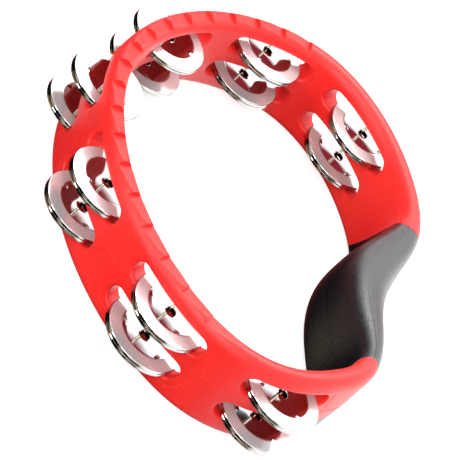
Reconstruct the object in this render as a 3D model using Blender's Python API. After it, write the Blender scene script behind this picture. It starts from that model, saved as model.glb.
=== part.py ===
"""Hand-held tambourine: moulded ring frame with two rows of jingle slots, a soft
hand grip, seven long pins and twenty-eight loose jingles. Metres, +Z up; the ring
lies flat with its ridged rim up and the middle of its outline on the Z axis."""

import math

import bmesh
import bpy
import numpy as np
from mathutils import Vector

MM = 0.001

# Middle line of the ring wall seen from above, clockwise from the far side.
MIDLINE = [
    (-86.4, 0.0),
    (-80.2, 37.6),
    (-65.8, 69.8),
    (-42.0, 99.6),
    (-11.0, 121.9),
    (25.3, 131.1),
    (59.0, 119.4),
    (83.6, 95.0),
    (95.3, 74.7),
    (100.2, 54.0),
    (93.2, 24.5),
    (87.2, -3.0),
    (88.9, -24.5),
    (97.3, -54.0),
    (97.8, -74.9),
    (85.0, -96.6),
    (59.5, -120.6),
    (25.3, -131.4),
    (-11.0, -121.9),
    (-42.0, -99.6),
    (-65.8, -69.8),
    (-80.2, -37.6),
]

# Ring wall.
DEPTH = 53.0
WALL = 12.6
RIM_RISE = 8.0
FOOT_RADIUS = 3.6
STATION_STEP = 11.0

# Ridged rim: saw-tooth notches, each ramping down and then stepping up.
TEETH = 19
TOOTH_PITCH = 18.8
TOOTH_MIDDLE = 1.0
TOOTH_DEPTH = 2.6

# Jingle slots: two rows, seven places.
PIN_PLACES = [-227.0, -151.4, -74.0, 0.0, 74.0, 151.4, 227.0]
SLOT_LENGTH = 55.0
SLOT_HEIGHT = 11.5
SLOT_CORNER = 4.5
SLOT_FLOORS = [10.7, 31.9]

# Pins.
PIN_RADIUS = 0.8
PIN_HOLE_RADIUS = 1.15
PIN_BOTTOM = 0.6
PIN_TOP = 47.8
PIN_HOLE_TOP = 48.2

# Jingles: cupped discs in pairs, lips facing each other, hanging to one side of their pins.
JINGLE_RADIUS = 22.5
JINGLE_HEIGHT = 2.6
JINGLE_SHEET = 0.45
JINGLE_HOLE_RADIUS = 2.8
JINGLE_DISH_RADIUS = 15.2
JINGLE_DISH = 1.6
JINGLE_CROWN = 0.7
JINGLE_REST_GAP = 0.12
JINGLE_PLAY = (1.0, -0.9)

# Hand grip: a sleeve over a slimmer bar of the frame.
GRIP_HALF_WIDTH = 15.1
GRIP_HALF_HEIGHT = 24.8
GRIP_GAP = 0.3
CORE_SCALE_OFF = 0.62
CORE_SCALE_Z = 0.72
GRIP_START = 296.6
GRIP_END = 445.8
GRIP_SLANT = 13.5
GRIP_STATIONS = 16
GRIP_SWELL_BIAS = 0.82
GRIP_SQUARENESS = 0.7


def closed_spline(points, count):
    """Evenly spaced points of the smooth closed curve through the given points."""
    nodes = np.array(points, float)
    gaps = np.linalg.norm(np.roll(nodes, -1, 0) - nodes, axis=1)
    size = len(nodes)
    matrix = np.zeros((size, size))
    right = np.zeros((size, 2))
    for i in range(size):
        before, after = gaps[i - 1], gaps[i]
        matrix[i, i - 1] = after
        matrix[i, i] = 2.0 * (before + after)
        matrix[i, (i + 1) % size] = before
        rise_before = (nodes[i] - nodes[i - 1]) / before
        rise_after = (nodes[(i + 1) % size] - nodes[i]) / after
        right[i] = 3.0 * (after * rise_before + before * rise_after)
    slopes = np.linalg.solve(matrix, right)
    dense = []
    for i in range(size):
        after = gaps[i]
        p0, p1 = nodes[i], nodes[(i + 1) % size]
        m0, m1 = slopes[i] * after, slopes[(i + 1) % size] * after
        for t in np.linspace(0.0, 1.0, 200, endpoint=False):
            h00 = 2 * t**3 - 3 * t**2 + 1
            h10 = t**3 - 2 * t**2 + t
            h01 = -2 * t**3 + 3 * t**2
            h11 = t**3 - t**2
            dense.append(h00 * p0 + h10 * m0 + h01 * p1 + h11 * m1)
    dense = np.array(dense + [dense[0]])
    runs = np.concatenate([[0.0], np.cumsum(np.linalg.norm(np.diff(dense, axis=0), axis=1))])
    even = np.linspace(0.0, runs[-1], count + 1)
    line = np.stack([np.interp(even, runs, dense[:, k]) for k in (0, 1)], axis=1)
    return line, even


LINE, RUNS = closed_spline(MIDLINE, 3600)
PERIMETER = float(RUNS[-1])


def on_line(s):
    """Point, tangent and outward normal of the middle line at arc length s."""
    s = s % PERIMETER
    ahead = (s + 0.4) % PERIMETER
    back = (s - 0.4) % PERIMETER
    here, there, behind = (
        Vector((np.interp(v, RUNS, LINE[:, 0]), np.interp(v, RUNS, LINE[:, 1])))
        for v in (s, ahead, back)
    )
    tangent = (there - behind).normalized()
    return here, tangent, Vector((-tangent.y, tangent.x))


def wall_section(side):
    """Outline of the ring wall as (offset, height): outer side, rounded rim, inner side, foot."""
    half = WALL / 2
    points = [(half, z) for z in side]
    for degrees in range(0, 181, 30):
        turn = math.radians(degrees)
        points.append((half * math.cos(turn), DEPTH - RIM_RISE + RIM_RISE * math.sin(turn)))
    points += [(-half, z) for z in reversed(side)]
    inset = FOOT_RADIUS * (1 - math.sqrt(0.5))
    points += [(-half + inset, inset), (-half + FOOT_RADIUS, 0.0)]
    points += [(half - FOOT_RADIUS, 0.0), (half - inset, inset)]
    return points


SECTION = wall_section([FOOT_RADIUS, 15.0, 27.0, 37.5])


def grip_section(swell):
    """The wall outline swollen towards the full oval of the hand grip."""
    half, middle = WALL / 2, DEPTH / 2
    points = []
    for off, z in SECTION:
        turn = math.atan2((z - middle) / middle, off / half)
        across = math.copysign(abs(math.cos(turn)) ** GRIP_SQUARENESS, math.cos(turn))
        upward = math.copysign(abs(math.sin(turn)) ** GRIP_SQUARENESS, math.sin(turn))
        full = (GRIP_HALF_WIDTH * across, middle + GRIP_HALF_HEIGHT * upward)
        points.append((off + (full[0] - off) * swell, z + (full[1] - z) * swell))
    return points


def core_section(grow):
    """Bar of the frame inside the hand grip; grow widens it all round."""
    middle = DEPTH / 2
    points = []
    for off, z in SECTION:
        away = Vector((off, (z - middle) * 0.5))
        away.normalize()
        points.append((
            off * CORE_SCALE_OFF + grow * away.x,
            middle + (z - middle) * CORE_SCALE_Z + grow * away.y,
        ))
    return points


def slant(z):
    """How far the end of the hand grip lies from its mean line, by height on the wall."""
    return GRIP_SLANT * (2.0 * z / DEPTH - 1.0)


def ring_of(s_values, section):
    """One loop of points: each section point at its own arc length."""
    loop = []
    for s, (off, z) in zip(s_values, section):
        here, _, normal = on_line(s)
        flat = here + normal * off
        loop.append(Vector((flat.x, flat.y, z)) * MM)
    return loop


def frame_loops():
    """Loops of points round the whole ring, with the slim bar inside the hand grip."""
    first = TOOTH_MIDDLE - TOOTH_PITCH * (TEETH - 1) / 2
    start = GRIP_END - PERIMETER
    marks = []
    for k in range(TEETH):
        marks += [(first + k * TOOTH_PITCH, 1.0), (first + k * TOOTH_PITCH, 0.0)]
    marks.append((first - TOOTH_PITCH, 0.0))
    last = first + (TEETH - 1) * TOOTH_PITCH
    for low, high in ((start, first - TOOTH_PITCH), (last, GRIP_START)):
        steps = max(2, round((high - low) / STATION_STEP))
        marks += [(low + (high - low) * i / steps, 0.0) for i in range(1, steps)]
    marks.sort(key=lambda mark: (round(mark[0], 3), -mark[1]))
    clear = 22.0
    loops = []
    for s, depth in marks:
        if start + clear < s < GRIP_START - clear:
            section = [(off, min(z, DEPTH - TOOTH_DEPTH * depth)) for off, z in SECTION]
            loops.append(ring_of([s] * len(section), section))
    for mean, sign, at_start in ((start, 1.0, True), (GRIP_START, -1.0, False)):
        lines = []
        for part in (0.62, 0.3, 0.0):
            lean = sign * clear * part
            s_values = [mean + lean - sign * slant(z) * (1.0 - part) for _, z in SECTION]
            lines.append(ring_of(s_values, SECTION))
        loops = lines[::-1] + loops if at_start else loops + lines
    for i in range(GRIP_STATIONS + 1):
        loops.append(grip_loop(i / GRIP_STATIONS, core_section(0.0), 0.0))
    return loops


def grip_loop(part, section, shorten):
    """Loop of the grip zone at a fraction of the way along it, following its slanted ends."""
    s_values = []
    for _, z in section:
        low = GRIP_START + slant(z) + shorten
        high = GRIP_END - slant(z) - shorten
        s_values.append(low + (high - low) * part)
    return ring_of(s_values, section)


def skin(name, loops, closed):
    """Mesh object whose skin joins each loop to the next; closed joins last to first."""
    mesh = bpy.data.meshes.new(name)
    count = len(loops[0])
    verts = [tuple(point) for loop in loops for point in loop]
    faces = []
    total = len(loops)
    for i in range(total if closed else total - 1):
        a, b = i * count, ((i + 1) % total) * count
        for j in range(count):
            k = (j + 1) % count
            faces.append((a + j, a + k, b + k, b + j))
    mesh.from_pydata(verts, [], faces)
    mesh.update()
    return add_object(name, mesh)


def add_object(name, mesh):
    obj = bpy.data.objects.new(name, mesh)
    bpy.context.scene.collection.objects.link(obj)
    outward(obj)
    return obj


def outward(obj):
    """Triangulates the mesh and turns its faces outward."""
    work = bmesh.new()
    work.from_mesh(obj.data)
    bmesh.ops.recalc_face_normals(work, faces=work.faces)
    bmesh.ops.triangulate(work, faces=work.faces, quad_method="SHORT_EDGE")
    if work.calc_volume(signed=True) < 0:
        bmesh.ops.reverse_faces(work, faces=work.faces)
    work.to_mesh(obj.data)
    work.free()


def material(name, colour, metallic, roughness):
    made = bpy.data.materials.new(name)
    made.use_nodes = True
    shader = made.node_tree.nodes["Principled BSDF"]
    shader.inputs["Base Color"].default_value = (*colour, 1.0)
    shader.inputs["Metallic"].default_value = metallic
    shader.inputs["Roughness"].default_value = roughness
    made.diffuse_color = (*colour, 1.0)
    return made


def prism(name, outline, place, tangent, normal, reach):
    """Closed prism with an outline in the (tangent, up) plane, running along the normal."""
    mesh = bpy.data.meshes.new(name)
    verts = []
    for side in (-reach, reach):
        for u, z in outline:
            flat = place + tangent * u + normal * side
            verts.append((flat.x * MM, flat.y * MM, z * MM))
    count = len(outline)
    faces = [tuple(range(count)), tuple(range(2 * count - 1, count - 1, -1))]
    for j in range(count):
        k = (j + 1) % count
        faces.append((j, k, count + k, count + j))
    mesh.from_pydata(verts, [], faces)
    mesh.update()
    return add_object(name, mesh)


def round_bar(name, place, radius, low, high, sides):
    """Upright round bar as a closed prism."""
    mesh = bpy.data.meshes.new(name)
    verts = []
    for z in (low, high):
        for j in range(sides):
            turn = 2 * math.pi * j / sides
            x = place.x + radius * math.cos(turn)
            y = place.y + radius * math.sin(turn)
            verts.append((x * MM, y * MM, z * MM))
    faces = [tuple(range(sides - 1, -1, -1)), tuple(range(sides, 2 * sides))]
    for j in range(sides):
        k = (j + 1) % sides
        faces.append((j, k, sides + k, sides + j))
    mesh.from_pydata(verts, [], faces)
    mesh.update()
    return add_object(name, mesh)


def slot_outline(floor):
    """Slot with rounded ends, as (along, height) points."""
    along = SLOT_LENGTH / 2 - SLOT_CORNER
    upward = SLOT_HEIGHT / 2 - SLOT_CORNER
    centre = floor + SLOT_HEIGHT / 2
    points = []
    for first, x, z in ((0, 1, 1), (90, -1, 1), (180, -1, -1), (270, 1, -1)):
        for degrees in range(first, first + 91, 30):
            turn = math.radians(degrees)
            points.append((
                x * along + SLOT_CORNER * math.cos(turn),
                centre + z * upward + SLOT_CORNER * math.sin(turn),
            ))
    return points


def cut(obj, cutters):
    """Takes the cutters away from the object and keeps the result as its mesh."""
    for cutter in cutters:
        modifier = obj.modifiers.new("cut", "BOOLEAN")
        modifier.operation = "DIFFERENCE"
        modifier.solver = "EXACT"
        modifier.object = cutter
        bpy.context.view_layer.update()
        graph = bpy.context.evaluated_depsgraph_get()
        done = bpy.data.meshes.new_from_object(obj.evaluated_get(graph))
        obj.modifiers.clear()
        obj.data = done
    for cutter in cutters:
        bpy.data.objects.remove(cutter, do_unlink=True)


def weld(obj, distance):
    """Joins points that fall together and drops faces with no area."""
    work = bmesh.new()
    work.from_mesh(obj.data)
    bmesh.ops.remove_doubles(work, verts=work.verts, dist=distance * MM)
    bmesh.ops.dissolve_degenerate(work, edges=work.edges, dist=distance * MM)
    bmesh.ops.triangulate(work, faces=work.faces)
    work.to_mesh(obj.data)
    work.free()


def build_frame(red):
    frame = skin("frame", frame_loops(), closed=True)
    weld(frame, 0.001)
    cutters = []
    for index, place in enumerate(PIN_PLACES):
        here, tangent, normal = on_line(place)
        for row, floor in enumerate(SLOT_FLOORS):
            name = f"cutter_{index}_{row}"
            cutters.append(prism(name, slot_outline(floor), here, tangent, normal, 16.0))
        cutters.append(round_bar(f"cutter_{index}_pin", here, PIN_HOLE_RADIUS, -1.0, PIN_HOLE_TOP, 12))
    cut(frame, cutters)
    weld(frame, 0.02)
    frame.data.materials.clear()
    frame.data.materials.append(red)


def build_grip(black):
    """Sleeve of soft rubber: outer skin, inner skin over the bar, and both end faces."""
    outer, inner = [], []
    for i in range(GRIP_STATIONS + 1):
        part = i / GRIP_STATIONS
        swell = math.sin(math.pi * part**GRIP_SWELL_BIAS) ** 1.2
        outer.append(grip_loop(part, grip_section(swell), GRIP_GAP))
        inner.append(grip_loop(part, core_section(GRIP_GAP), GRIP_GAP))
    grip = skin("grip", outer + list(reversed(inner)), closed=True)
    grip.data.materials.append(black)


def jingle_profile():
    """Half section of an upper jingle as (radius, height), its lip downwards."""
    top, sheet, dish = JINGLE_HEIGHT, JINGLE_SHEET, JINGLE_DISH_RADIUS
    shoulder = top - JINGLE_CROWN
    return [
        (JINGLE_RADIUS, 0.0),
        (JINGLE_RADIUS, shoulder),
        (dish, top),
        (JINGLE_HOLE_RADIUS + 2.0, top - JINGLE_DISH),
        (JINGLE_HOLE_RADIUS, top - JINGLE_DISH),
        (JINGLE_HOLE_RADIUS, top - JINGLE_DISH - sheet),
        (JINGLE_HOLE_RADIUS + 2.0, top - JINGLE_DISH - sheet),
        (dish, top - sheet),
        (JINGLE_RADIUS - sheet, shoulder - sheet),
        (JINGLE_RADIUS - sheet, 0.0),
    ]


def build_jingle(name, place, base, lip_up, steel):
    """Cupped disc with a hole; base is the height of its lowest point."""
    loops = []
    for radius, height in jingle_profile():
        z = base + (JINGLE_HEIGHT - height if lip_up else height)
        loop = []
        for j in range(20):
            turn = 2 * math.pi * (j + 0.5) / 20
            x = place.x + JINGLE_PLAY[0] + radius * math.cos(turn)
            y = place.y + JINGLE_PLAY[1] + radius * math.sin(turn)
            loop.append(Vector((x, y, z)) * MM)
        loops.append(loop)
    jingle = skin(name, loops, closed=True)
    jingle.data.materials.append(steel)


def build_part():
    for obj in list(bpy.data.objects):
        bpy.data.objects.remove(obj, do_unlink=True)
    red = material("red_abs", (0.72, 0.02, 0.02), 0.0, 0.35)
    black = material("black_rubber", (0.02, 0.02, 0.02), 0.0, 0.6)
    steel = material("bright_steel", (0.8, 0.8, 0.82), 1.0, 0.12)
    wire = material("pin_steel", (0.6, 0.58, 0.52), 1.0, 0.25)
    build_frame(red)
    build_grip(black)
    for index, place in enumerate(PIN_PLACES):
        here, _, _ = on_line(place)
        pin = round_bar(f"pin_{index + 1}", here, PIN_RADIUS, PIN_BOTTOM, PIN_TOP, 10)
        pin.data.materials.append(wire)
        for row, floor in zip(("lower", "upper"), SLOT_FLOORS):
            base = floor + JINGLE_REST_GAP
            build_jingle(f"jingle_{row}_{index + 1}_a", here, base, True, steel)
            base += JINGLE_HEIGHT + JINGLE_REST_GAP
            build_jingle(f"jingle_{row}_{index + 1}_b", here, base, False, steel)


build_part()
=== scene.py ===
"""Looks of the headless tambourine: moulded red ring, soft black grip, bright jingles.

Lengths are in millimetres until a point becomes a mesh vertex. Places on the ring are
given by (s, off, z): s is the arc length along the middle line of the wall, off the
distance outward from it, and z the height above the foot."""

import math

import bmesh
import bpy
import numpy as np
from mathutils import Euler, Matrix, Vector


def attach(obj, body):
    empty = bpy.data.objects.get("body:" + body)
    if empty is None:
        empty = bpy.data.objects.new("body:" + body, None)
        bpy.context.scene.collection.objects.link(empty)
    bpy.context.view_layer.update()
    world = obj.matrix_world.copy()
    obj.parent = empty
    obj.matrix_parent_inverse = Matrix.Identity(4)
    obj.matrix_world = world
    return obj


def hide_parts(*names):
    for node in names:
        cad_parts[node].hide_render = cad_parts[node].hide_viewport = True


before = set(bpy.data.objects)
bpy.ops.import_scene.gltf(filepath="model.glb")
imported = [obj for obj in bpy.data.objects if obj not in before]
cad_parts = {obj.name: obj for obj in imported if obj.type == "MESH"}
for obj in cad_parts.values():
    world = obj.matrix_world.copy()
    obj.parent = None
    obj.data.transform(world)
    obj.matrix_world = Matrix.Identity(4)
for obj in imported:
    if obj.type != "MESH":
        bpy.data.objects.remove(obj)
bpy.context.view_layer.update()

MM = 0.001

# Middle line of the wall seen from above, clockwise from the far side, as in the CAD part.
MIDLINE = [
    (-86.4, 0.0),
    (-80.2, 37.6),
    (-65.8, 69.8),
    (-42.0, 99.6),
    (-11.0, 121.9),
    (25.3, 131.1),
    (59.0, 119.4),
    (83.6, 95.0),
    (95.3, 74.7),
    (100.2, 54.0),
    (93.2, 24.5),
    (87.2, -3.0),
    (88.9, -24.5),
    (97.3, -54.0),
    (97.8, -74.9),
    (85.0, -96.6),
    (59.5, -120.6),
    (25.3, -131.4),
    (-11.0, -121.9),
    (-42.0, -99.6),
    (-65.8, -69.8),
    (-80.2, -37.6),
]

LINE_POINTS = 3600
SPLINE_STEPS = 200
TANGENT_REACH = 0.6

# Wall of the ring: thickest at the parting plane, with draft to both rims.
DEPTH = 53.0
PARTING = 27.05
HALF_WALL = 6.4
DRAFT = 0.022
CAP_START = 45.0
CAP_HALF = HALF_WALL - DRAFT * (CAP_START - PARTING)
CAP_RISE = DEPTH - CAP_START
FOOT_RADIUS = 3.6
WALL_LOW = 5.6
WALL_HIGH = 47.6
MIDDLE_HEIGHT = DEPTH / 2

# Ridges of the rim.
TEETH = 19
TOOTH_PITCH = 18.8
TOOTH_MIDDLE = 1.0
TOOTH_DEPTH = 2.6
TOOTH_STEP = 0.35
TOOTH_LEDGE = 0.35
CAP_SINE_LIMIT = 0.9985

# Slots, each in a panel of the wall round its pin; the two rows share the pins.
PIN_PLACES = [-227.0, -151.4, -74.0, 0.0, 74.0, 151.4, 227.0]
SLOT_LENGTH = 55.0
SLOT_HEIGHT = 11.5
SLOT_CORNER = 5.3
SLOT_FLOORS = [10.7, 31.9]
LIP_RADIUS = 1.7
PANEL_HALF = 31.5

# Lines left by the mould on the outer wall: their outline round a pair of slots is widest at
# the parting plane and narrows in steps to both rims.
BEAD_HALF_WIDTH = 0.24
BEAD_RISE = 0.13
BEAD_SINK = 0.1
MOULD_APEX = 33.6
MOULD_SHOULDER = 30.2
MOULD_SHOULDER_IN = 0.9
MOULD_CORNER = 26.0
MOULD_HEIGHTS = (38.5, 43.0, 46.4)
MOULD_LOW = 7.2
PARTING_END = 284.0

# Hand grip.
GRIP_MIDDLE = 371.2
GRIP_HALF = 74.6
GRIP_SLANT = 13.5
SWELL_MIDDLE = 359.0
SWELL_REACH_UP = 78.0
SWELL_REACH_DOWN = 80.0
GRIP_HALF_WIDTH = 15.1
GRIP_HALF_HEIGHT = 24.6
GRIP_SQUARENESS = 0.7
GRIP_SWELL_BIAS = 0.9
GRIP_GROOVE = 0.25
GRIP_BODY_START = 1.2
SEAM_DEPTH = 0.22
SEAM_HALF = 0.35
TOP_SEAM_OFFS = (-0.62, -0.76, -0.90)

# The ring's own bar inside the grip, as shares of the plain wall's section.
CORE_HEIGHT_SHARE = 0.72
CORE_WIDTH_SHARE = 0.6
STEP_HEIGHT_SCALE = 0.35

# Jingles and pins.
JINGLE_RADIUS = 22.5
JINGLE_HEIGHT = 2.6
JINGLE_SHEET = 0.45
JINGLE_HOLE = 2.8
JINGLE_REST_GAP = 0.36
JINGLE_LIP_GAP = 0.03
JINGLE_PLAY = (1.0, -0.9)
SPIN_SEED = 7
ANNULUS_EDGE = 15.2
DISH_DEPTH = 1.6
DISH_FALL = 1.06
DISH_BEND = 1.15
DISH_SHOULDER = 0.1
DISH_SHOULDER_BEND = 0.4
CROWN = 0.7
LIP_CORNER = 0.5
LIP_BREAK = 0.03
DISH_BREAK = 0.2
COLLAR_RADIUS = 3.6
COLLAR_LIFT = 0.25
DOT_PLACE = 13.9
DOT_RADIUS = 1.6
DOT_HEIGHT = 0.55
DOT_TURNS = (0, 120, 240)
PIN_RADIUS = 0.78
PIN_LOW = 8.0
PIN_HIGH = 46.0
PIN_END = 0.3
PIN_END_RADIUS = PIN_RADIUS * 0.7

# Fineness of the meshes.
END_COLUMNS = 12
GAP_COLUMNS = 5
SLOT_COLUMNS = 21
PANEL_EDGE_COLUMNS = 3
PANEL_COLUMNS = SLOT_COLUMNS - 1 + 2 * PANEL_EDGE_COLUMNS
HALF_ROWS = 8
CAP_TURNS = 8
CAP_TURN_BIAS = 0.8
LIP_TURNS = 6
PANEL_PARTS = (0.3, 0.62)
CORE_LOOPS = 30
GRIP_LOOPS = 110
JINGLE_SEGMENTS = 128
PIN_SEGMENTS = 24
WELD_DISTANCE = 0.002
TINY = 1e-6

# Stretch of the middle line, to each side of a pin, that is tabled along the slot's axis.
TABLE_REACH = 45.0
TABLE_SIZE = 361


# ---------------------------------------------------------------- middle line


def closed_spline(points, count):
    """Evenly spaced points of the smooth closed curve through the given points, and their
    arc lengths."""
    nodes = np.array(points, float)
    gaps = np.linalg.norm(np.roll(nodes, -1, 0) - nodes, axis=1)
    size = len(nodes)
    matrix = np.zeros((size, size))
    right = np.zeros((size, 2))
    for i in range(size):
        before, after = gaps[i - 1], gaps[i]
        matrix[i, i - 1] = after
        matrix[i, i] = 2.0 * (before + after)
        matrix[i, (i + 1) % size] = before
        rise_before = (nodes[i] - nodes[i - 1]) / before
        rise_after = (nodes[(i + 1) % size] - nodes[i]) / after
        right[i] = 3.0 * (after * rise_before + before * rise_after)
    slopes = np.linalg.solve(matrix, right)
    dense = []
    for i in range(size):
        after = gaps[i]
        p0, p1 = nodes[i], nodes[(i + 1) % size]
        m0, m1 = slopes[i] * after, slopes[(i + 1) % size] * after
        for t in np.linspace(0.0, 1.0, SPLINE_STEPS, endpoint=False):
            h00 = 2 * t**3 - 3 * t**2 + 1
            h10 = t**3 - 2 * t**2 + t
            h01 = -2 * t**3 + 3 * t**2
            h11 = t**3 - t**2
            dense.append(h00 * p0 + h10 * m0 + h01 * p1 + h11 * m1)
    dense = np.array(dense + [dense[0]])
    steps = np.linalg.norm(np.diff(dense, axis=0), axis=1)
    runs = np.concatenate([[0.0], np.cumsum(steps)])
    even = np.linspace(0.0, runs[-1], count + 1)
    line = np.stack([np.interp(even, runs, dense[:, k]) for k in (0, 1)], axis=1)
    return line, even


LINE, RUNS = closed_spline(MIDLINE, LINE_POINTS)
PERIMETER = float(RUNS[-1])


def line_at(s):
    """Point of the middle line at arc length s."""
    s = s % PERIMETER
    return np.array([np.interp(s, RUNS, LINE[:, 0]), np.interp(s, RUNS, LINE[:, 1])])


def frame_at(s):
    """Point, tangent and outward normal of the middle line at arc length s."""
    tangent = line_at(s + TANGENT_REACH) - line_at(s - TANGENT_REACH)
    tangent /= np.linalg.norm(tangent)
    return line_at(s), tangent, np.array([-tangent[1], tangent[0]])


# -------------------------------------------------------------- wall surfaces


def smooth(t):
    """Smooth step from 0 to 1."""
    t = min(1.0, max(0.0, t))
    return t * t * (3.0 - 2.0 * t)


def half_thickness(z):
    """Half the thickness of the plain wall at height z."""
    if z > CAP_START:
        return CAP_HALF * math.sqrt(max(0.0, 1.0 - ((z - CAP_START) / CAP_RISE) ** 2))
    half = HALF_WALL - DRAFT * abs(z - PARTING)
    if z < FOOT_RADIUS:
        half -= FOOT_RADIUS - math.sqrt(max(0.0, FOOT_RADIUS**2 - (FOOT_RADIUS - z) ** 2))
    return half


def swell_at(s):
    """How far the section has grown from the plain wall to the full hand grip, 0 to 1."""
    away = (s - SWELL_MIDDLE + PERIMETER / 2) % PERIMETER - PERIMETER / 2
    reach = SWELL_REACH_DOWN if away > 0 else SWELL_REACH_UP
    return smooth(1.0 - abs(away) / reach) ** GRIP_SWELL_BIAS


def slant_at(z):
    """How far an end of the grip lies along the ring at height z, from its middle height."""
    return GRIP_SLANT * (2.0 * z / DEPTH - 1.0)


def swollen(s, off, z):
    """The section point (off, z) moved out for the swelling of the grip at s."""
    swell = swell_at(s)
    if swell <= 0.0:
        return off, z
    turn = math.atan2((z - MIDDLE_HEIGHT) / MIDDLE_HEIGHT, off / HALF_WALL)
    across = math.copysign(abs(math.cos(turn)) ** GRIP_SQUARENESS, math.cos(turn))
    upward = math.copysign(abs(math.sin(turn)) ** GRIP_SQUARENESS, math.sin(turn))
    full_off = GRIP_HALF_WIDTH * across
    full_z = MIDDLE_HEIGHT + GRIP_HALF_HEIGHT * upward
    return off + (full_off - off) * swell, z + (full_z - z) * swell


def place(s, off, z):
    """Point in space of a section point, with the swelling of the grip."""
    off, z = swollen(s, off, z)
    here, _, normal = frame_at(s)
    flat = here + normal * off
    return (flat[0], flat[1], z)


def drawn_in(s, off, z, inset, width_scale, height_scale):
    """Point in space of a section point, swollen and then moved in by inset, away from the
    middle of the section as it looks with the two scales."""
    wide, high = swollen(s, off, z)
    away = np.array([wide * width_scale, (high - MIDDLE_HEIGHT) * height_scale])
    away /= max(np.linalg.norm(away), TINY)
    here, _, normal = frame_at(s)
    flat = here + normal * (wide - away[0] * inset)
    return (flat[0], flat[1], high - away[1] * inset)


def on_arc(half_width, height, degrees):
    """Point (across, upward) of an ellipse about its centre, at a turn from level."""
    turn = math.radians(degrees)
    return half_width * math.cos(turn), height * math.sin(turn)


# --------------------------------------------------------------- mesh building


class Shell:
    """Vertices and faces gathered for one object, with shared vertices found by key."""

    def __init__(self):
        self.points = []
        self.faces = []
        self.known = {}

    def point(self, key, make):
        """Index of the vertex known by this key, made at the first call."""
        if key not in self.known:
            self.known[key] = len(self.points)
            self.points.append(tuple(make()))
        return self.known[key]

    def add(self, xyz):
        """Index of a new vertex."""
        self.points.append(tuple(xyz))
        return len(self.points) - 1

    def band(self, low, high, closed=False):
        """Quads between two rows of vertices."""
        count = len(low)
        for j in range(count if closed else count - 1):
            k = (j + 1) % count
            self.faces.append((low[j], low[k], high[k], high[j]))

    def tube(self, loops):
        """Closed bands of quads from each loop to the next."""
        for low, high in zip(loops, loops[1:]):
            self.band(low, high, closed=True)

    def close_ends(self, loops):
        """One face over the first loop and one over the last."""
        self.faces.append(tuple(reversed(loops[0])))
        self.faces.append(tuple(loops[-1]))

    def build(self, name, material, sharp_degrees=40.0):
        """Object of the gathered faces, welded, facing outward and smooth-shaded."""
        mesh = bpy.data.meshes.new(name)
        verts = [(x * MM, y * MM, z * MM) for x, y, z in self.points]
        mesh.from_pydata(verts, [], self.faces)
        mesh.update()
        work = bmesh.new()
        work.from_mesh(mesh)
        bmesh.ops.remove_doubles(work, verts=work.verts, dist=WELD_DISTANCE * MM)
        bmesh.ops.recalc_face_normals(work, faces=work.faces)
        if work.calc_volume(signed=True) < 0:
            bmesh.ops.reverse_faces(work, faces=work.faces)
        work.to_mesh(mesh)
        work.free()
        for polygon in mesh.polygons:
            polygon.use_smooth = True
        mesh.set_sharp_from_angle(angle=math.radians(sharp_degrees))
        mesh.materials.append(material)
        obj = bpy.data.objects.new(name, mesh)
        bpy.context.scene.collection.objects.link(obj)
        return obj


# ------------------------------------------------------------------ ring frame


def slot_outline(floor, grow):
    """Points (along, height) of a slot outline grown outward by grow, always 68 of them: 26
    from left to right below, 8 up the right side, 26 back above and 8 down the left side."""
    along = SLOT_LENGTH / 2 - SLOT_CORNER
    upward = SLOT_HEIGHT / 2 - SLOT_CORNER
    centre = floor + SLOT_HEIGHT / 2
    radius = SLOT_CORNER + grow

    def corner(x, z, degrees):
        across, up = on_arc(radius, radius, degrees)
        return (x * along + across, centre + z * upward + up)

    points = [corner(-1, -1, d) for d in (225, 240, 255)]
    points += [(u, centre - upward - radius) for u in np.linspace(-along, along, SLOT_COLUMNS)]
    points += [corner(1, -1, d) for d in (285, 300, 315, 330, 345)]
    points += [(along + radius, centre + h) for h in (-upward, 0.0, upward)]
    points += [corner(1, 1, d) for d in (15, 30, 45, 60, 75)]
    points += [(u, centre + upward + radius) for u in np.linspace(along, -along, SLOT_COLUMNS)]
    points += [corner(-1, 1, d) for d in (105, 120, 135, 150, 165)]
    points += [(-along - radius, centre + h) for h in (upward, 0.0, -upward)]
    points += [corner(-1, -1, d) for d in (195, 210)]
    return points


# Heights of the rows of wall vertices, evenly spaced from the middle row both ways.
ROWS = list(np.linspace(WALL_LOW, PARTING, HALF_ROWS + 1))
ROWS += list(np.linspace(PARTING, WALL_HIGH, HALF_ROWS + 1))[1:]
BOTTOM_ROW, MIDDLE_ROW, TOP_ROW = 0, HALF_ROWS, 2 * HALF_ROWS


class Columns:
    """Columns of the ring mesh: arc length, depth of the ridge cut, lean of the column."""

    def __init__(self):
        self.s = []
        self.cut = []
        self.lean = []
        self.first_of_place = []

    def add(self, s, lean=0.0):
        self.s.append(s)
        self.cut.append(0.0)
        self.lean.append(lean)

    def s_at(self, c, z):
        """Arc length of column c at height z."""
        return self.s[c] + self.lean[c] * slant_at(z)


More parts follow.
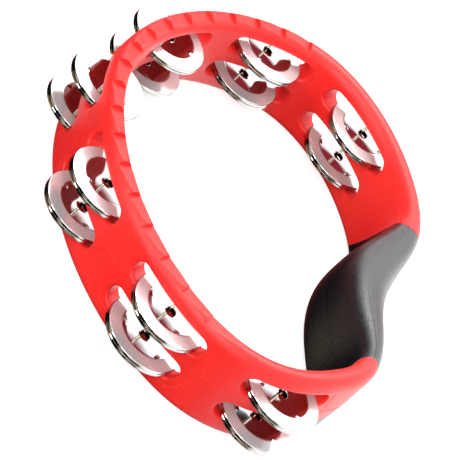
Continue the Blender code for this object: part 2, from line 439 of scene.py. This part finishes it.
def make_columns():
    """Columns from the lower end of the grip round to its upper end."""
    columns = Columns()
    start = GRIP_MIDDLE + GRIP_HALF - PERIMETER
    end = GRIP_MIDDLE - GRIP_HALF
    low_edge = PIN_PLACES[0] - PANEL_HALF
    high_edge = PIN_PLACES[-1] + PANEL_HALF
    for part in np.linspace(1.0, 0.0, END_COLUMNS, endpoint=False):
        columns.add(low_edge + (start - low_edge) * part, lean=-part)
    along = SLOT_LENGTH / 2 - SLOT_CORNER
    inner = list(np.linspace(-along, along, SLOT_COLUMNS))
    for k, middle in enumerate(PIN_PLACES):
        columns.first_of_place.append(len(columns.s))
        outer = list(np.linspace(-PANEL_HALF, -along, PANEL_EDGE_COLUMNS + 1))[:-1]
        for u in outer + inner + [-u for u in reversed(outer)]:
            columns.add(middle + u)
        if k + 1 < len(PIN_PLACES):
            next_panel = PIN_PLACES[k + 1] - PANEL_HALF
            for s in np.linspace(middle + PANEL_HALF, next_panel, GAP_COLUMNS + 2)[1:-1]:
                columns.add(s)
    for part in np.linspace(0.0, 1.0, END_COLUMNS + 1)[1:]:
        columns.add(high_edge + (end - high_edge) * part, lean=part)
    cut_ridges(columns)
    return columns


def cut_ridges(columns):
    """Moves columns to the steps of the saw-tooth rim and sets each column's cut, which
    grows along a tooth and falls to nothing at its step."""
    first = TOOTH_MIDDLE - TOOTH_PITCH * (TEETH - 1) / 2
    steps = [first + k * TOOTH_PITCH for k in range(TEETH)]
    high = set()
    for step in steps:
        nearest = min(range(len(columns.s)), key=lambda c: abs(columns.s[c] - step))
        columns.s[nearest] = step
        columns.s[nearest + 1] = step + TOOTH_STEP
        high.add(nearest + 1)
    for c, s in enumerate(columns.s):
        if c in high or s <= first - TOOTH_PITCH or s > steps[-1]:
            continue
        past_step = (s - first) % TOOTH_PITCH
        part = past_step / TOOTH_PITCH if past_step > TINY else 1.0
        columns.cut[c] = TOOTH_DEPTH * part


def cap_profile(cut):
    """Rounded top of the wall from its outer to its inner side, cut flat by a ridge."""
    low = math.asin((ROWS[TOP_ROW] - CAP_START) / CAP_RISE)
    high = math.asin(min(CAP_SINE_LIMIT, 1.0 - cut / CAP_RISE))
    turns = low + (high - low) * np.linspace(0.0, 1.0, CAP_TURNS) ** CAP_TURN_BIAS
    side = [(CAP_HALF * math.cos(t), CAP_START + CAP_RISE * math.sin(t)) for t in turns]
    half, level = side[-1]
    ledge = min(TOOTH_LEDGE, 0.4 * half)
    flat = [half - ledge, half * 0.4, 0.0, -half * 0.4, -half + ledge]
    points = side + [(off, level) for off in flat]
    return points + [(-off, z) for off, z in reversed(side)]


def foot_profile():
    """Underside of the wall from its outer to its inner side."""
    heights = [ROWS[BOTTOM_ROW]]
    heights += [FOOT_RADIUS - on_arc(0.0, FOOT_RADIUS, d)[1] for d in range(0, 105, 15)]
    outer = [(half_thickness(z), z) for z in heights]
    return outer + [(0.0, 0.0)] + [(-off, z) for off, z in reversed(outer)]


def build_ring(material):
    """The red ring: rows of wall vertices, slots, ridged rim, foot and the bar in the grip."""
    shell = Shell()
    columns = make_columns()
    cap_count = len(cap_profile(0.0))
    foot = foot_profile()
    foot_count = len(foot)

    def wall(side, c, r):
        z = ROWS[r]
        off = side * half_thickness(z)
        return shell.point((side, c, r), lambda: place(columns.s_at(c, z), off, z))

    def cap(c, j):
        if j in (0, cap_count - 1):
            return wall(1 if j == 0 else -1, c, TOP_ROW)
        off, z = cap_profile(columns.cut[c])[j]
        return shell.point(("cap", c, j), lambda: place(columns.s_at(c, z), off, z))

    def under(c, j):
        if j in (0, foot_count - 1):
            return wall(1 if j == 0 else -1, c, BOTTOM_ROW)
        off, z = foot[j]
        return shell.point(("foot", c, j), lambda: place(columns.s_at(c, z), off, z))

    def side_rows(side, c):
        return [wall(side, c, r) for r in range(len(ROWS))]

    inside_panel = set()
    for first in columns.first_of_place:
        inside_panel.update(range(first, first + PANEL_COLUMNS))
    for c in range(len(columns.s) - 1):
        for vertex, across in ((cap, cap_count), (under, foot_count)):
            this, following = ([vertex(k, j) for j in range(across)] for k in (c, c + 1))
            shell.band(this, following)
        if c not in inside_panel:
            for side in (1, -1):
                shell.band(side_rows(side, c), side_rows(side, c + 1))
    for middle, first in zip(PIN_PLACES, columns.first_of_place):
        for floor, low, high in zip(SLOT_FLOORS, (BOTTOM_ROW, MIDDLE_ROW), (MIDDLE_ROW, TOP_ROW)):
            add_slot(shell, wall, columns, middle, first, floor, low, high)
    add_core(shell, columns, wall, cap, under, cap_count, foot_count)
    moulding_lines(shell)
    return shell.build("ring", material)


def add_slot(shell, wall, columns, middle, first, floor, low, high):
    """One slot through the wall, in the panel between the rows low and high: flat panel,
    rounded lips and straight walls."""
    last = first + PANEL_COLUMNS
    border = [(c, low) for c in range(first, last)]
    border += [(last, r) for r in range(low, high)]
    border += [(c, high) for c in range(last, first, -1)]
    border += [(first, r) for r in range(high, low, -1)]
    edge = slot_outline(floor, LIP_RADIUS)
    here, tangent, normal = frame_at(middle)
    samples = np.linspace(middle - TABLE_REACH, middle + TABLE_REACH, TABLE_SIZE)
    edge_loops = []
    for side in (1, -1):
        face = [frame_at(s)[0] + frame_at(s)[2] * side * HALF_WALL for s in samples]
        along_table = (np.array(face) - here) @ tangent

        def s_for(u):
            """Arc length of the wall point that lies u along the slot's straight axis."""
            return float(np.interp(u, along_table, samples))

        def surface(u, z, depth):
            """Point at (u, z) of the slot, straight in from the wall by depth."""
            point = np.array(place(s_for(u), side * half_thickness(z), z))
            point[:2] -= normal * side * depth
            return point

        loops = [[wall(side, c, r) for c, r in border]]
        for part in PANEL_PARTS:
            loop = []
            for (c, r), (u, z) in zip(border, edge):
                mix_s = columns.s[c] + (s_for(u) - columns.s[c]) * part
                mix_z = ROWS[r] + (z - ROWS[r]) * part
                loop.append(shell.add(place(mix_s, side * half_thickness(mix_z), mix_z)))
            loops.append(loop)
        for degrees in np.linspace(0.0, 90.0, LIP_TURNS):
            out, inward = on_arc(LIP_RADIUS, LIP_RADIUS, degrees)
            outline = slot_outline(floor, LIP_RADIUS - inward)
            loops.append([shell.add(surface(u, z, LIP_RADIUS - out)) for u, z in outline])
        shell.tube(loops)
        edge_loops.append(loops[-1])
    front, back = edge_loops
    between = [front]
    for part in (1 / 3, 2 / 3):
        loop = []
        for a, b in zip(front, back):
            start, end = np.array(shell.points[a]), np.array(shell.points[b])
            loop.append(shell.add(start + (end - start) * part))
        between.append(loop)
    shell.tube(between + [back])


def add_bead(shell, path):
    """Fine raised moulding line on the outer wall along a path of (s, z) points."""
    loops = []
    for before, (s, z), after in zip(path[:1] + path, path, path[1:] + path[-1:]):
        run = np.array([after[0] - before[0], after[1] - before[1]])
        run *= BEAD_HALF_WIDTH / np.linalg.norm(run)
        loop = []
        for side, lift in ((-1, -BEAD_SINK), (0, BEAD_RISE), (1, -BEAD_SINK)):
            beside_s, beside_z = s - run[1] * side, z + run[0] * side
            off = half_thickness(beside_z) + lift
            loop.append(shell.add(place(beside_s, off, beside_z)))
        loops.append(loop)
    shell.tube(loops)
    shell.close_ends(loops)


def moulding_lines(shell):
    """Line of the mould's side cores round each pair of slots, and the parting line."""
    shoulder_height, upper_height, high = MOULD_HEIGHTS
    rise = [
        (MOULD_APEX, PARTING),
        (MOULD_SHOULDER, shoulder_height),
        (MOULD_SHOULDER - MOULD_SHOULDER_IN, upper_height),
    ]
    outline = [(-u, z) for u, z in rise]
    outline += [(u, high) for u in np.linspace(-MOULD_CORNER, MOULD_CORNER, 9)]
    outline += reversed(rise)
    for middle in PIN_PLACES:
        add_bead(shell, [(middle + u, z) for u, z in outline])
        add_bead(shell, [(middle + u, MOULD_LOW + high - z) for u, z in outline])
    stretches = [(a + MOULD_APEX, b - MOULD_APEX, 4) for a, b in zip(PIN_PLACES, PIN_PLACES[1:])]
    stretches.append((-PARTING_END, PIN_PLACES[0] - MOULD_APEX, 8))
    stretches.append((PIN_PLACES[-1] + MOULD_APEX, PARTING_END, 8))
    for start, end, count in stretches:
        add_bead(shell, [(s, PARTING) for s in np.linspace(start, end, count)])


def add_core(shell, columns, wall, cap, under, cap_count, foot_count):
    """Slim bar of the ring inside the grip, joined to both ends of the visible wall."""

    def end_loop(c):
        """Vertices of the wall's end column, round the section."""
        outer = [wall(1, c, r) for r in range(len(ROWS))]
        top = [cap(c, j) for j in range(1, cap_count - 1)]
        inner = [wall(-1, c, r) for r in reversed(range(len(ROWS)))]
        bottom = [under(c, j) for j in range(foot_count - 2, 0, -1)]
        return outer + top + inner + bottom

    outer = [(half_thickness(z), z) for z in ROWS]
    inner = [(-off, z) for off, z in reversed(outer)]
    section = outer + cap_profile(0.0)[1:-1] + inner + foot_profile()[-2:0:-1]
    start = GRIP_MIDDLE - GRIP_HALF
    end = GRIP_MIDDLE + GRIP_HALF
    loops = [end_loop(len(columns.s) - 1)]
    for inset, step in ((0.3, 0.12), (1.6, 0.2)):
        loops.append(step_loop(shell, section, start + step, 1.0, inset))
    for part in np.linspace(0.0, 1.0, CORE_LOOPS):
        loop = []
        for off, z in section:
            s = start + (end - start) * part + slant_at(z) * (1.0 - 2.0 * part)
            here, _, normal = frame_at(s)
            flat = here + normal * off * CORE_WIDTH_SHARE
            core_z = MIDDLE_HEIGHT + (z - MIDDLE_HEIGHT) * CORE_HEIGHT_SHARE
            loop.append(shell.add((flat[0], flat[1], core_z)))
        loops.append(loop)
    for inset, step in ((1.6, 0.2), (0.3, 0.12)):
        loops.append(step_loop(shell, section, end - step, -1.0, inset))
    loops.append(end_loop(0))
    shell.tube(loops)


def step_loop(shell, section, middle, lean, inset):
    """Loop of the wall section at an end of the grip, drawn in towards its middle."""
    return [
        shell.add(drawn_in(middle + lean * slant_at(z), off, z, inset, 1.0, STEP_HEIGHT_SCALE))
        for off, z in section
    ]


# ------------------------------------------------------------------- hand grip


def grip_section():
    """Section points (off, z, seam depth) of the grip before it swells, in order round it."""
    outer = [(z, 0.0) for z in np.linspace(FOOT_RADIUS, CAP_START, 16)]
    outer += [(PARTING - SEAM_HALF, 0.0), (PARTING, SEAM_DEPTH), (PARTING + SEAM_HALF, 0.0)]
    points = [(side * half_thickness(z), z, depth) for z, depth in outer for side in (1, -1)]
    for degrees in np.linspace(0.0, 180.0, 26)[1:-1]:
        off, rise = on_arc(CAP_HALF, CAP_RISE, degrees)
        points.append((off, CAP_START + rise, 0.0))
    for off, depth in zip(TOP_SEAM_OFFS, (0.0, SEAM_DEPTH, 0.0)):
        points.append((off, CAP_START + CAP_RISE * math.sqrt(1 - (off / CAP_HALF) ** 2), depth))
    for degrees in range(15, 105, 15):
        z = FOOT_RADIUS - on_arc(0.0, FOOT_RADIUS, degrees)[1]
        points += [(side * half_thickness(z), z, 0.0) for side in (1, -1)]
    points += [(SEAM_HALF, 0.0, 0.0), (0.0, 0.0, SEAM_DEPTH), (-SEAM_HALF, 0.0, 0.0)]
    points.sort(key=lambda p: math.atan2(p[1] - MIDDLE_HEIGHT, p[0]))
    return points


def build_grip(material):
    """The black sleeve: one closed skin from one slanted end to the other."""
    shell = Shell()
    section = grip_section()
    start = GRIP_MIDDLE - GRIP_HALF + GRIP_GROOVE
    span = 2 * (GRIP_HALF - GRIP_GROOVE)
    # The end face and the rounding of its edge: (share of the length, inset).
    rounding = [(0.0, 2.4), (0.0, 0.28), (0.1 / span, 0.1), (0.3 / span, 0.0)]
    body = GRIP_BODY_START / span
    parts = rounding + [(p, 0.0) for p in np.linspace(body, 1.0 - body, GRIP_LOOPS)]
    parts += [(1.0 - p, inset) for p, inset in reversed(rounding)]
    scales = (1.0 / GRIP_HALF_WIDTH, 1.0 / GRIP_HALF_HEIGHT)
    loops = []
    for part, inset in parts:
        loop = []
        for off, z, seam in section:
            s = start + span * part + slant_at(z) * (1.0 - 2.0 * part)
            loop.append(shell.add(drawn_in(s, off, z, inset + seam, *scales)))
        loops.append(loop)
    shell.tube(loops)
    shell.close_ends(loops)
    return shell.build("hand_grip", material, sharp_degrees=60.0)


# --------------------------------------------------------------------- jingles


def face_height(radius):
    """Height of a lip-down jingle's outer face by distance from its centre: a gently sloping
    flat ring outside, a dish inside it and a low collar round the hole."""
    if radius >= ANNULUS_EDGE:
        drop = CROWN * (radius - ANNULUS_EDGE) / (JINGLE_RADIUS - ANNULUS_EDGE)
    elif radius > COLLAR_RADIUS:
        into = (ANNULUS_EDGE - radius) / (ANNULUS_EDGE - COLLAR_RADIUS)
        slope = 1.0 - (1.0 - min(1.0, into * DISH_FALL)) ** DISH_BEND
        drop = DISH_DEPTH * slope * smooth(into / DISH_SHOULDER) ** DISH_SHOULDER_BEND
    else:
        lift = (COLLAR_RADIUS - radius) / (COLLAR_RADIUS - JINGLE_HOLE)
        drop = DISH_DEPTH - COLLAR_LIFT * smooth(lift)
    return JINGLE_HEIGHT - drop


def jingle_profile():
    """Profile of a lip-down jingle as (radius, height, on the outer face), from the lip over
    the outer face to the hole and back under it."""
    rim = JINGLE_RADIUS
    rim_top = face_height(rim)
    points = [(rim - JINGLE_SHEET, 0.0, False)]
    points += [(rim - LIP_BREAK, 0.0, False), (rim, LIP_BREAK, False)]
    for degrees in np.linspace(0.0, 90.0, LIP_TURNS):
        out, up = on_arc(LIP_CORNER, LIP_CORNER, degrees)
        points.append((rim - LIP_CORNER + out, rim_top - LIP_CORNER + up, False))
    face = list(np.linspace(rim - 1.0, ANNULUS_EDGE + DISH_BREAK, 9))
    face += list(np.linspace(ANNULUS_EDGE - DISH_BREAK, COLLAR_RADIUS + 0.1, 22))
    face += [3.5, 3.3, 3.1, 2.95]
    points += [(radius, face_height(radius), True) for radius in face]
    points.append((JINGLE_HOLE, face_height(JINGLE_HOLE) - 0.12, False))
    for radius in (JINGLE_HOLE, COLLAR_RADIUS, 6.0, 9.0, 12.0, ANNULUS_EDGE, 18.0, 20.5):
        points.append((radius, face_height(radius) - JINGLE_SHEET, False))
    points.append((rim - JINGLE_SHEET - 0.05, rim_top - JINGLE_SHEET - 0.3, False))
    return points


def dot_rise(x, y, spin):
    """Height of the raised dots of a jingle at a point of its face."""
    rise = 0.0
    for turn in DOT_TURNS:
        dot_x, dot_y = on_arc(DOT_PLACE, DOT_PLACE, math.degrees(spin) + turn)
        away = math.hypot(x - dot_x, y - dot_y)
        if away < DOT_RADIUS:
            rise += DOT_HEIGHT * (1.0 - (away / DOT_RADIUS) ** 2) ** 1.5
    return rise


def build_jingle(name, middle, base, lip_up, spin, material):
    """One jingle: rolled lip, sloping flat ring, shallow dish, three raised dots, hole."""
    shell = Shell()
    here, _, _ = frame_at(middle)
    centre_x, centre_y = here[0] + JINGLE_PLAY[0], here[1] + JINGLE_PLAY[1]
    loops = []
    flat_map = []
    under = False
    for radius, height, outer in jingle_profile():
        loop = []
        under = under or radius <= JINGLE_HOLE
        for j in range(JINGLE_SEGMENTS):
            x, y = on_arc(radius, radius, 360 * j / JINGLE_SEGMENTS)
            h = height + dot_rise(x, y, spin) if outer else height
            z = base + (JINGLE_HEIGHT - h if lip_up else h)
            loop.append(shell.add((centre_x + x, centre_y + y, z)))
            flat_map.append((x, y, under))
        loops.append(loop)
    shell.tube(loops + loops[:1])
    jingle = shell.build(name, material, sharp_degrees=50.0)
    map_face(jingle, flat_map, spin)
    return jingle


def map_face(jingle, flat_map, spin):
    """Flat map of a jingle: its face fills the unit square about (0.5, 0.5), and its hidden
    underside lies two units beside it."""
    layer = jingle.data.uv_layers.new(name="face_map")
    cosine, sine = math.cos(-spin), math.sin(-spin)
    size = 2 * JINGLE_RADIUS
    for loop in jingle.data.loops:
        x, y, under = flat_map[loop.vertex_index]
        u = (x * cosine - y * sine) / size
        v = (x * sine + y * cosine) / size
        layer.data[loop.index].uv = (u + (2.5 if under else 0.5), v + 0.5)


def build_pin(name, middle, material):
    """Drawn wire pin with softly rounded ends."""
    shell = Shell()
    here, _, _ = frame_at(middle)
    profile = [(PIN_END_RADIUS, PIN_LOW), (PIN_RADIUS, PIN_LOW + PIN_END)]
    profile += [(PIN_RADIUS, z) for z in np.linspace(PIN_LOW + 2.0, PIN_HIGH - 2.0, 12)]
    profile += [(PIN_RADIUS, PIN_HIGH - PIN_END), (PIN_END_RADIUS, PIN_HIGH)]
    loops = []
    for radius, z in profile:
        loop = []
        for j in range(PIN_SEGMENTS):
            x, y = on_arc(radius, radius, 360 * j / PIN_SEGMENTS)
            loop.append(shell.add((here[0] + x, here[1] + y, z)))
        loops.append(loop)
    shell.tube(loops)
    shell.close_ends(loops)
    return shell.build(name, material)


# ------------------------------------------------------------------- materials


def grey(value):
    return (value, value, value, 1.0)


class Nodes:
    """Short way to add and join the nodes of a tree."""

    def __init__(self, tree):
        self.tree = tree

    def feed(self, target, source):
        """Joins an output to the input target, or sets that input to a constant."""
        if isinstance(source, bpy.types.NodeSocket):
            self.tree.links.new(source, target)
        else:
            target.default_value = source

    def add(self, kind, inputs=None, **properties):
        """New node with its properties, and its inputs fed by name or number."""
        node = self.tree.nodes.new(kind)
        for name, value in properties.items():
            setattr(node, name, value)
        for name, source in (inputs or {}).items():
            self.feed(node.inputs[name], source)
        return node

    def noise(self, scale, detail, roughness=0.5, vector=None):
        """Noise over the given vector, or over the object's own coordinates."""
        vector = vector or self.add("ShaderNodeTexCoord").outputs["Object"]
        inputs = {"Scale": scale, "Detail": detail, "Roughness": roughness, "Vector": vector}
        return self.add("ShaderNodeTexNoise", inputs).outputs["Fac"]

    def ramp(self, source, *stops):
        """Colour between two stops, each (position, colour)."""
        node = self.add("ShaderNodeValToRGB", {"Fac": source})
        for element, (position, colour) in zip(node.color_ramp.elements, stops):
            element.position, element.color = position, colour
        return node.outputs["Color"]

    def spread(self, source, low, high, start=0.3, end=0.7):
        """Value from low to high as the source goes from start to end."""
        inputs = {"From Min": start, "From Max": end, "To Min": low, "To Max": high}
        inputs["Value"] = source
        return self.add("ShaderNodeMapRange", inputs).outputs["Result"]

    def rise(self, source, start, end):
        """Value from 0 to 1 as the source goes from start to end."""
        return self.spread(source, 0.0, 1.0, start, end)

    def math(self, operation, *values):
        inputs = dict(enumerate(values))
        return self.add("ShaderNodeMath", inputs, operation=operation).outputs["Value"]

    def mix(self, blend_type, base, layer, factor=1.0):
        """Colour of the layer blended over the base."""
        inputs = {"Factor": factor, "A": base, "B": layer}
        node = self.add("ShaderNodeMix", inputs, data_type="RGBA", blend_type=blend_type)
        return node.outputs["Result"]

    def bump(self, height, strength, distance, before=None):
        """Normal with bumps of a height, on top of the bumps before."""
        inputs = {"Height": height, "Strength": strength, "Distance": distance}
        if before:
            inputs["Normal"] = before
        return self.add("ShaderNodeBump", inputs).outputs["Normal"]


class Surface(Nodes):
    """Nodes of a new material."""

    def __init__(self, name):
        self.material = bpy.data.materials.new(name)
        self.material.use_nodes = True
        super().__init__(self.material.node_tree)

    def shade(self, inputs):
        """The material, after feeding its shader's inputs by name."""
        shader = self.tree.nodes["Principled BSDF"]
        for name, source in inputs.items():
            self.feed(shader.inputs[name], source)
        return self.material


def red_plastic():
    """Satin moulded plastic: spark-eroded grain, faint flow marks, slightly uneven shine."""
    nodes = Surface("moulded_red_plastic")
    flow = nodes.noise(28.0, 2.0)
    grain = nodes.noise(2600.0, 2.0, 0.6)
    stipple = nodes.noise(900.0, 3.0, 0.6)
    dark, light = (0.80, 0.012, 0.012, 1.0), (0.88, 0.022, 0.018, 1.0)
    return nodes.shade({
        "Base Color": nodes.ramp(flow, (0.25, dark), (0.75, light)),
        "Roughness": nodes.spread(stipple, 0.34, 0.46),
        "Normal": nodes.bump(stipple, 0.7, 0.00028, nodes.bump(grain, 0.5, 0.00006)),
        "IOR": 1.52,
        "Specular IOR Level": 0.33,
        "Sheen Weight": 0.03,
    })


def black_rubber():
    """Soft rubber with a fine leathery grain and a satin bloom."""
    nodes = Surface("soft_black_rubber")
    cloud = nodes.noise(40.0, 3.0)
    grain = nodes.noise(1500.0, 3.0, 0.65)
    skin = nodes.noise(420.0, 2.0)
    dark, light = (0.003, 0.003, 0.004, 1.0), (0.006, 0.006, 0.008, 1.0)
    return nodes.shade({
        "Base Color": nodes.ramp(cloud, (0.3, dark), (0.7, light)),
        "Roughness": nodes.spread(skin, 0.28, 0.36),
        "Normal": nodes.bump(skin, 0.7, 0.00022, nodes.bump(grain, 0.7, 0.00014)),
        "Specular IOR Level": 0.6,
    })


def jingle_steel():
    """Plated steel: polished dish whose darker colour is painted shade, lighter and hazier flat
    ring round it whose lighter colour is a painted reflection, underside darkened as painted
    shade, faint spots and a slight waviness."""
    nodes = Surface("plated_jingle_steel")
    haze = nodes.noise(120.0, 4.0, 0.6)
    wave = nodes.noise(60.0, 1.0, 0.4)
    face_map = nodes.add("ShaderNodeUVMap", uv_map="face_map").outputs["UV"]
    away = {0: face_map, 1: (0.5, 0.5, 0.0)}
    distance = nodes.add("ShaderNodeVectorMath", away, operation="DISTANCE")
    radius = distance.outputs["Value"]
    # Distances on the face map, where the rim is half a unit from the middle.
    edge = ANNULUS_EDGE / (2 * JINGLE_RADIUS)
    past_dish = nodes.rise(radius, edge - 0.012, edge + 0.012)
    before_rim = nodes.spread(radius, 1.0, 0.0, 0.488, 0.494)
    flat_ring = nodes.math("MULTIPLY", past_dish, before_rim)
    # Painted shade and painted reflection: the dish's dark colour stands in for the dark
    # surroundings it mirrors, the flat ring's light colour for the bright room it mirrors.
    dish, ring = (0.36, 0.355, 0.35, 1.0), (0.64, 0.64, 0.645, 1.0)
    face = nodes.ramp(flat_ring, (0.0, dish), (1.0, ring))
    # Painted shade: the hidden underside is darkened to near black.
    underside = nodes.spread(radius, 1.0, 0.12, 0.9, 1.1)
    spots = nodes.spread(haze, 0.02, 0.08)
    return nodes.shade({
        "Base Color": nodes.mix("MULTIPLY", face, underside),
        "Metallic": nodes.spread(flat_ring, 1.0, 0.6, 0.0, 1.0),
        "Roughness": nodes.math("MULTIPLY_ADD", flat_ring, 0.1, spots),
        "Normal": nodes.bump(wave, 0.06, 0.0006),
    })


def pin_steel():
    """Drawn wire with fine lines along it."""
    nodes = Surface("drawn_pin_wire")
    place_on = nodes.add("ShaderNodeTexCoord").outputs["Object"]
    stretch = nodes.add("ShaderNodeMapping", {"Scale": (1.0, 1.0, 0.03), "Vector": place_on})
    lines = nodes.noise(5000.0, 2.0, vector=stretch.outputs["Vector"])
    dark, light = (0.55, 0.47, 0.36, 1.0), (0.80, 0.72, 0.60, 1.0)
    return nodes.shade({
        "Metallic": 1.0,
        "Base Color": nodes.ramp(lines, (0.3, dark), (0.7, light)),
        "Roughness": nodes.spread(lines, 0.12, 0.25),
        "Normal": nodes.bump(lines, 0.2, 0.00004),
    })


# ------------------------------------------------------------------- the object


def build_object():
    """Every piece, riding on its body in place of its node of the part."""
    red = red_plastic()
    black = black_rubber()
    steel = jingle_steel()
    wire = pin_steel()
    ring = build_ring(red)
    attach(ring, "frame")
    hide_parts("frame")
    grip = build_grip(black)
    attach(grip, "frame")
    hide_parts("grip")
    chance = np.random.default_rng(SPIN_SEED)
    for index, middle in enumerate(PIN_PLACES):
        number = index + 1
        pin = build_pin(f"wire_{number}", middle, wire)
        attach(pin, "frame")
        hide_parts(f"pin_{number}")
        for row, floor in zip(("lower", "upper"), SLOT_FLOORS):
            base = floor + JINGLE_REST_GAP
            for half, lip_up in (("a", True), ("b", False)):
                node = f"jingle_{row}_{number}_{half}"
                spin = chance.uniform(0.0, 2 * math.pi)
                name = f"disc_{row}_{number}_{half}"
                disc = build_jingle(name, middle, base, lip_up, spin, steel)
                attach(disc, node)
                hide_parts(node)
                base += JINGLE_HEIGHT + JINGLE_LIP_GAP


# ------------------------------------------------------------ studio and camera

CAMERA_AZIMUTH = 16.53
CAMERA_ELEVATION = 33.69
CAMERA_ROLL = 47.83
CAMERA_PLACE = (-374.0, -1317.3, 926.4)
CAMERA_LENS = 244.6
SENSOR_WIDTH = 36.0
CLIP_END = 20.0
WORLD_LEVEL = 0.55
GLOSS_LEVEL = 5.2
LIGHT_AIM = (0.0, 0.0, 20.0)
FLOOR_REACH = 6000.0
FLOOR_DROP = 0.3


def area_light(name, place_mm, size_mm, power):
    """Rectangular lamp turned to the object's middle."""
    light = bpy.data.lights.new(name, "AREA")
    light.shape = "RECTANGLE"
    light.size, light.size_y = size_mm[0] * MM, size_mm[1] * MM
    light.energy = power
    obj = bpy.data.objects.new(name, light)
    obj.location = Vector(place_mm) * MM
    direction = Vector(LIGHT_AIM) - Vector(place_mm)
    obj.rotation_euler = direction.to_track_quat("-Z", "Y").to_euler()
    bpy.context.scene.collection.objects.link(obj)


def build_floor():
    """Plain pale sheet just under the foot, which lights and mirrors nothing."""
    material = Surface("white_sweep").shade({
        "Base Color": grey(0.6),
        "Roughness": 0.9,
        "Specular IOR Level": 0.1,
        "Emission Color": grey(1.0),
        "Emission Strength": 0.7,
    })
    mesh = bpy.data.meshes.new("floor")
    reach, z = FLOOR_REACH * MM, -FLOOR_DROP * MM
    corners = [(x * reach, y * reach, z) for x, y in ((-1, -1), (1, -1), (1, 1), (-1, 1))]
    mesh.from_pydata(corners, [], [(0, 1, 2, 3)])
    mesh.materials.append(material)
    floor = bpy.data.objects.new("floor", mesh)
    floor.visible_diffuse = False
    floor.visible_glossy = False
    floor.visible_transmission = False
    bpy.context.scene.collection.objects.link(floor)


def build_world():
    """Surroundings that light the object and show in its bright metal: a white sky, dark low
    on the left; grey on the right; a dark ground with a few warm patches on the near side;
    and a dark red flag on the far side."""
    scene = bpy.context.scene
    scene.world = scene.world or bpy.data.worlds.new("studio")
    scene.world.use_nodes = True
    nodes = Nodes(scene.world.node_tree)
    direction = nodes.add("ShaderNodeTexCoord").outputs["Generated"]
    split = nodes.add("ShaderNodeSeparateXYZ", {"Vector": direction})
    x, y, z = (split.outputs[axis] for axis in "XYZ")

    sky = nodes.ramp(nodes.rise(z, -1.0, 1.0), (0.49, grey(0.0)), (0.53, grey(WORLD_LEVEL)))
    sides = nodes.ramp(nodes.rise(x, -1.0, 1.0), (0.2, grey(0.01)), (0.33, grey(1.0)))
    overhead = nodes.rise(z, 0.48, 0.62)
    sky = nodes.mix("MULTIPLY", sky, nodes.math("MAXIMUM", sides, overhead))

    patches = nodes.noise(2.6, 1.0, vector=direction)
    warm = nodes.ramp(patches, (0.5, grey(0.001)), (0.6, (0.24, 0.19, 0.13, 1.0)))
    below_near = nodes.math("MULTIPLY", nodes.rise(z, -0.12, -0.25), nodes.rise(y, 0.35, 0.1))
    ground = nodes.mix("MULTIPLY", warm, below_near)

    room = nodes.mix("LIGHTEN", ground, sky)
    room = nodes.mix("MIX", room, grey(0.5), nodes.rise(x, 0.38, 0.55))
    flag = nodes.rise(x, 0.48, 0.36)
    for bound in (nodes.rise(y, 0.3, 0.45), nodes.rise(z, 0.38, 0.3), nodes.rise(x, -0.15, 0.0)):
        flag = nodes.math("MULTIPLY", flag, bound)
    room = nodes.mix("MIX", room, (0.11, 0.009, 0.014, 1.0), flag)

    diffuse = nodes.add("ShaderNodeLightPath").outputs["Is Diffuse Ray"]
    background = nodes.tree.nodes["Background"]
    nodes.feed(background.inputs["Color"], room)
    nodes.feed(background.inputs["Strength"], nodes.spread(diffuse, GLOSS_LEVEL, 1.0, 0.0, 1.0))


def build_studio():
    build_world()
    build_floor()
    area_light("overhead", (100.0, 400.0, 1100.0), (1000.0, 600.0), 18.0)
    area_light("left_key", (-1200.0, -600.0, 260.0), (300.0, 1200.0), 14.0)
    area_light("front_fill", (-350.0, -1300.0, 1000.0), (900.0, 600.0), 16.0)


def build_camera():
    """Long lens from high in front, a little to the left, rolled about its own axis."""
    data = bpy.data.cameras.new("camera")
    data.lens = CAMERA_LENS
    data.sensor_width = SENSOR_WIDTH
    data.clip_end = CLIP_END
    camera = bpy.data.objects.new("camera", data)
    tilt = Euler((math.radians(90.0 - CAMERA_ELEVATION), 0.0, -math.radians(CAMERA_AZIMUTH)))
    roll = Matrix.Rotation(math.radians(CAMERA_ROLL), 3, "Z")
    camera.rotation_euler = (tilt.to_matrix() @ roll).to_euler()
    camera.location = Vector(CAMERA_PLACE) * MM
    bpy.context.scene.collection.objects.link(camera)
    bpy.context.scene.camera = camera


build_object()
build_studio()
build_camera()
bpy.context.scene.view_settings.view_transform = "Standard"
